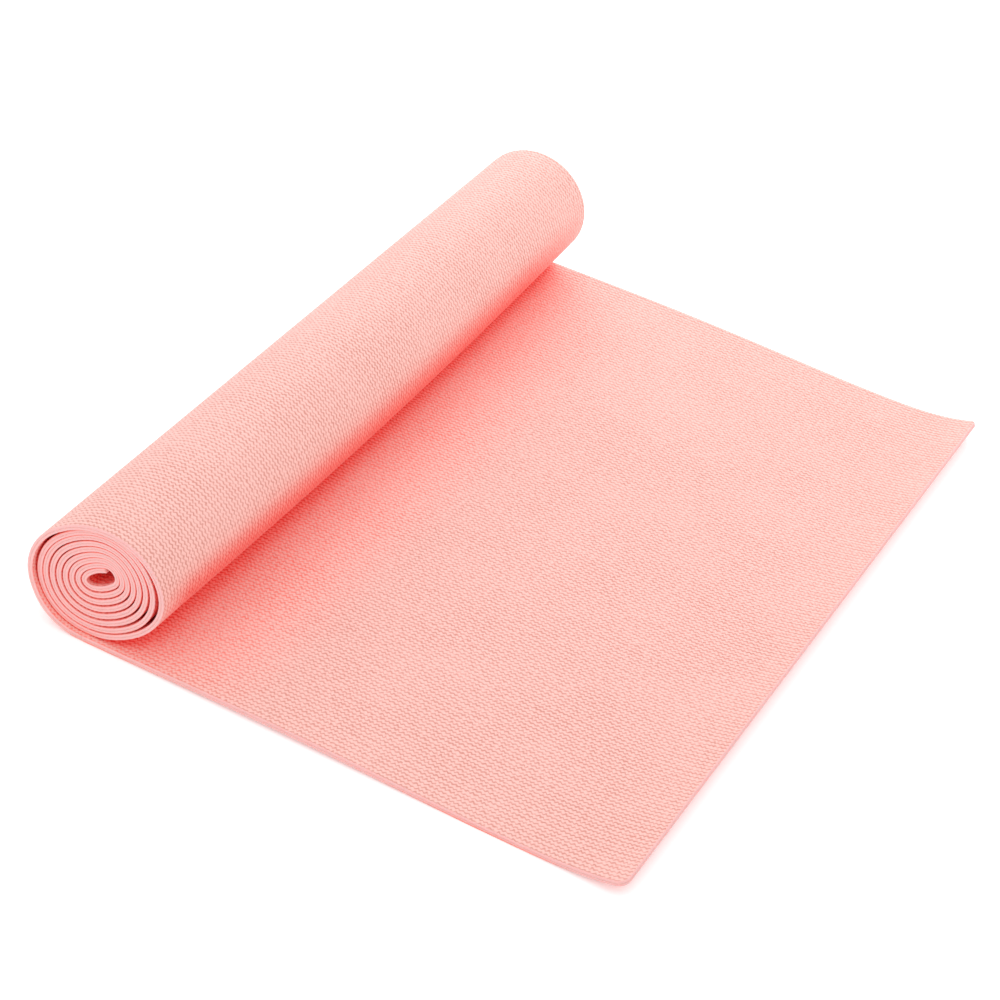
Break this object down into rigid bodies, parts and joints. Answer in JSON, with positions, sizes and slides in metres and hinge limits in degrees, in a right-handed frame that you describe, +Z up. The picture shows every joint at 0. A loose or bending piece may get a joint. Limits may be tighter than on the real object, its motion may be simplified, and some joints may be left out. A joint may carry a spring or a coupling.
{
  "type": "exercise mat",
  "caption": "Thin foam exercise mat, wound into a roll at one end and lying flat at the other, whose roll and free end lift on bend lines.",
  "frame": {"origin": "on the floor, under the middle of the whole mat's footprint", "axes": "+X along the mat from the roll to the free edge, +Y along the roll, +Z up from the floor"},
  "size_m": [0.4223, 0.6234, 0.0888],
  "materials": {
    "upper_foam": "matt, finely embossed closed-cell foam",
    "scrim": "open woven polyester",
    "lower_foam": "matt, finely embossed closed-cell foam"
  },
  "bodies": {
    "laid_sheet": {"laid_upper_foam": "upper_foam", "laid_scrim": "scrim", "laid_lower_foam": "lower_foam"},
    "roll": {"roll_upper_foam": "upper_foam", "roll_scrim": "scrim", "roll_lower_foam": "lower_foam", "roll_front_upper_foam": "upper_foam", "roll_front_scrim": "scrim", "roll_front_lower_foam": "lower_foam"},
    "free_end": {"free_end_upper_foam": "upper_foam", "free_end_scrim": "scrim", "free_end_lower_foam": "lower_foam"}
  },
  "joints": [
    {"name": "roll_lift", "type": "hinge", "parent": "laid_sheet", "child": "roll", "pos_m": [-0.08592, -0.0067, 0.0039], "axis": [0, 1, 0], "range_deg": [0, 90]},
    {"name": "free_end_lift", "type": "hinge", "parent": "laid_sheet", "child": "free_end", "pos_m": [0.11108, -0.0067, 0.0039], "axis": [0, -1, 0], "range_deg": [0, 170]}
  ]
}
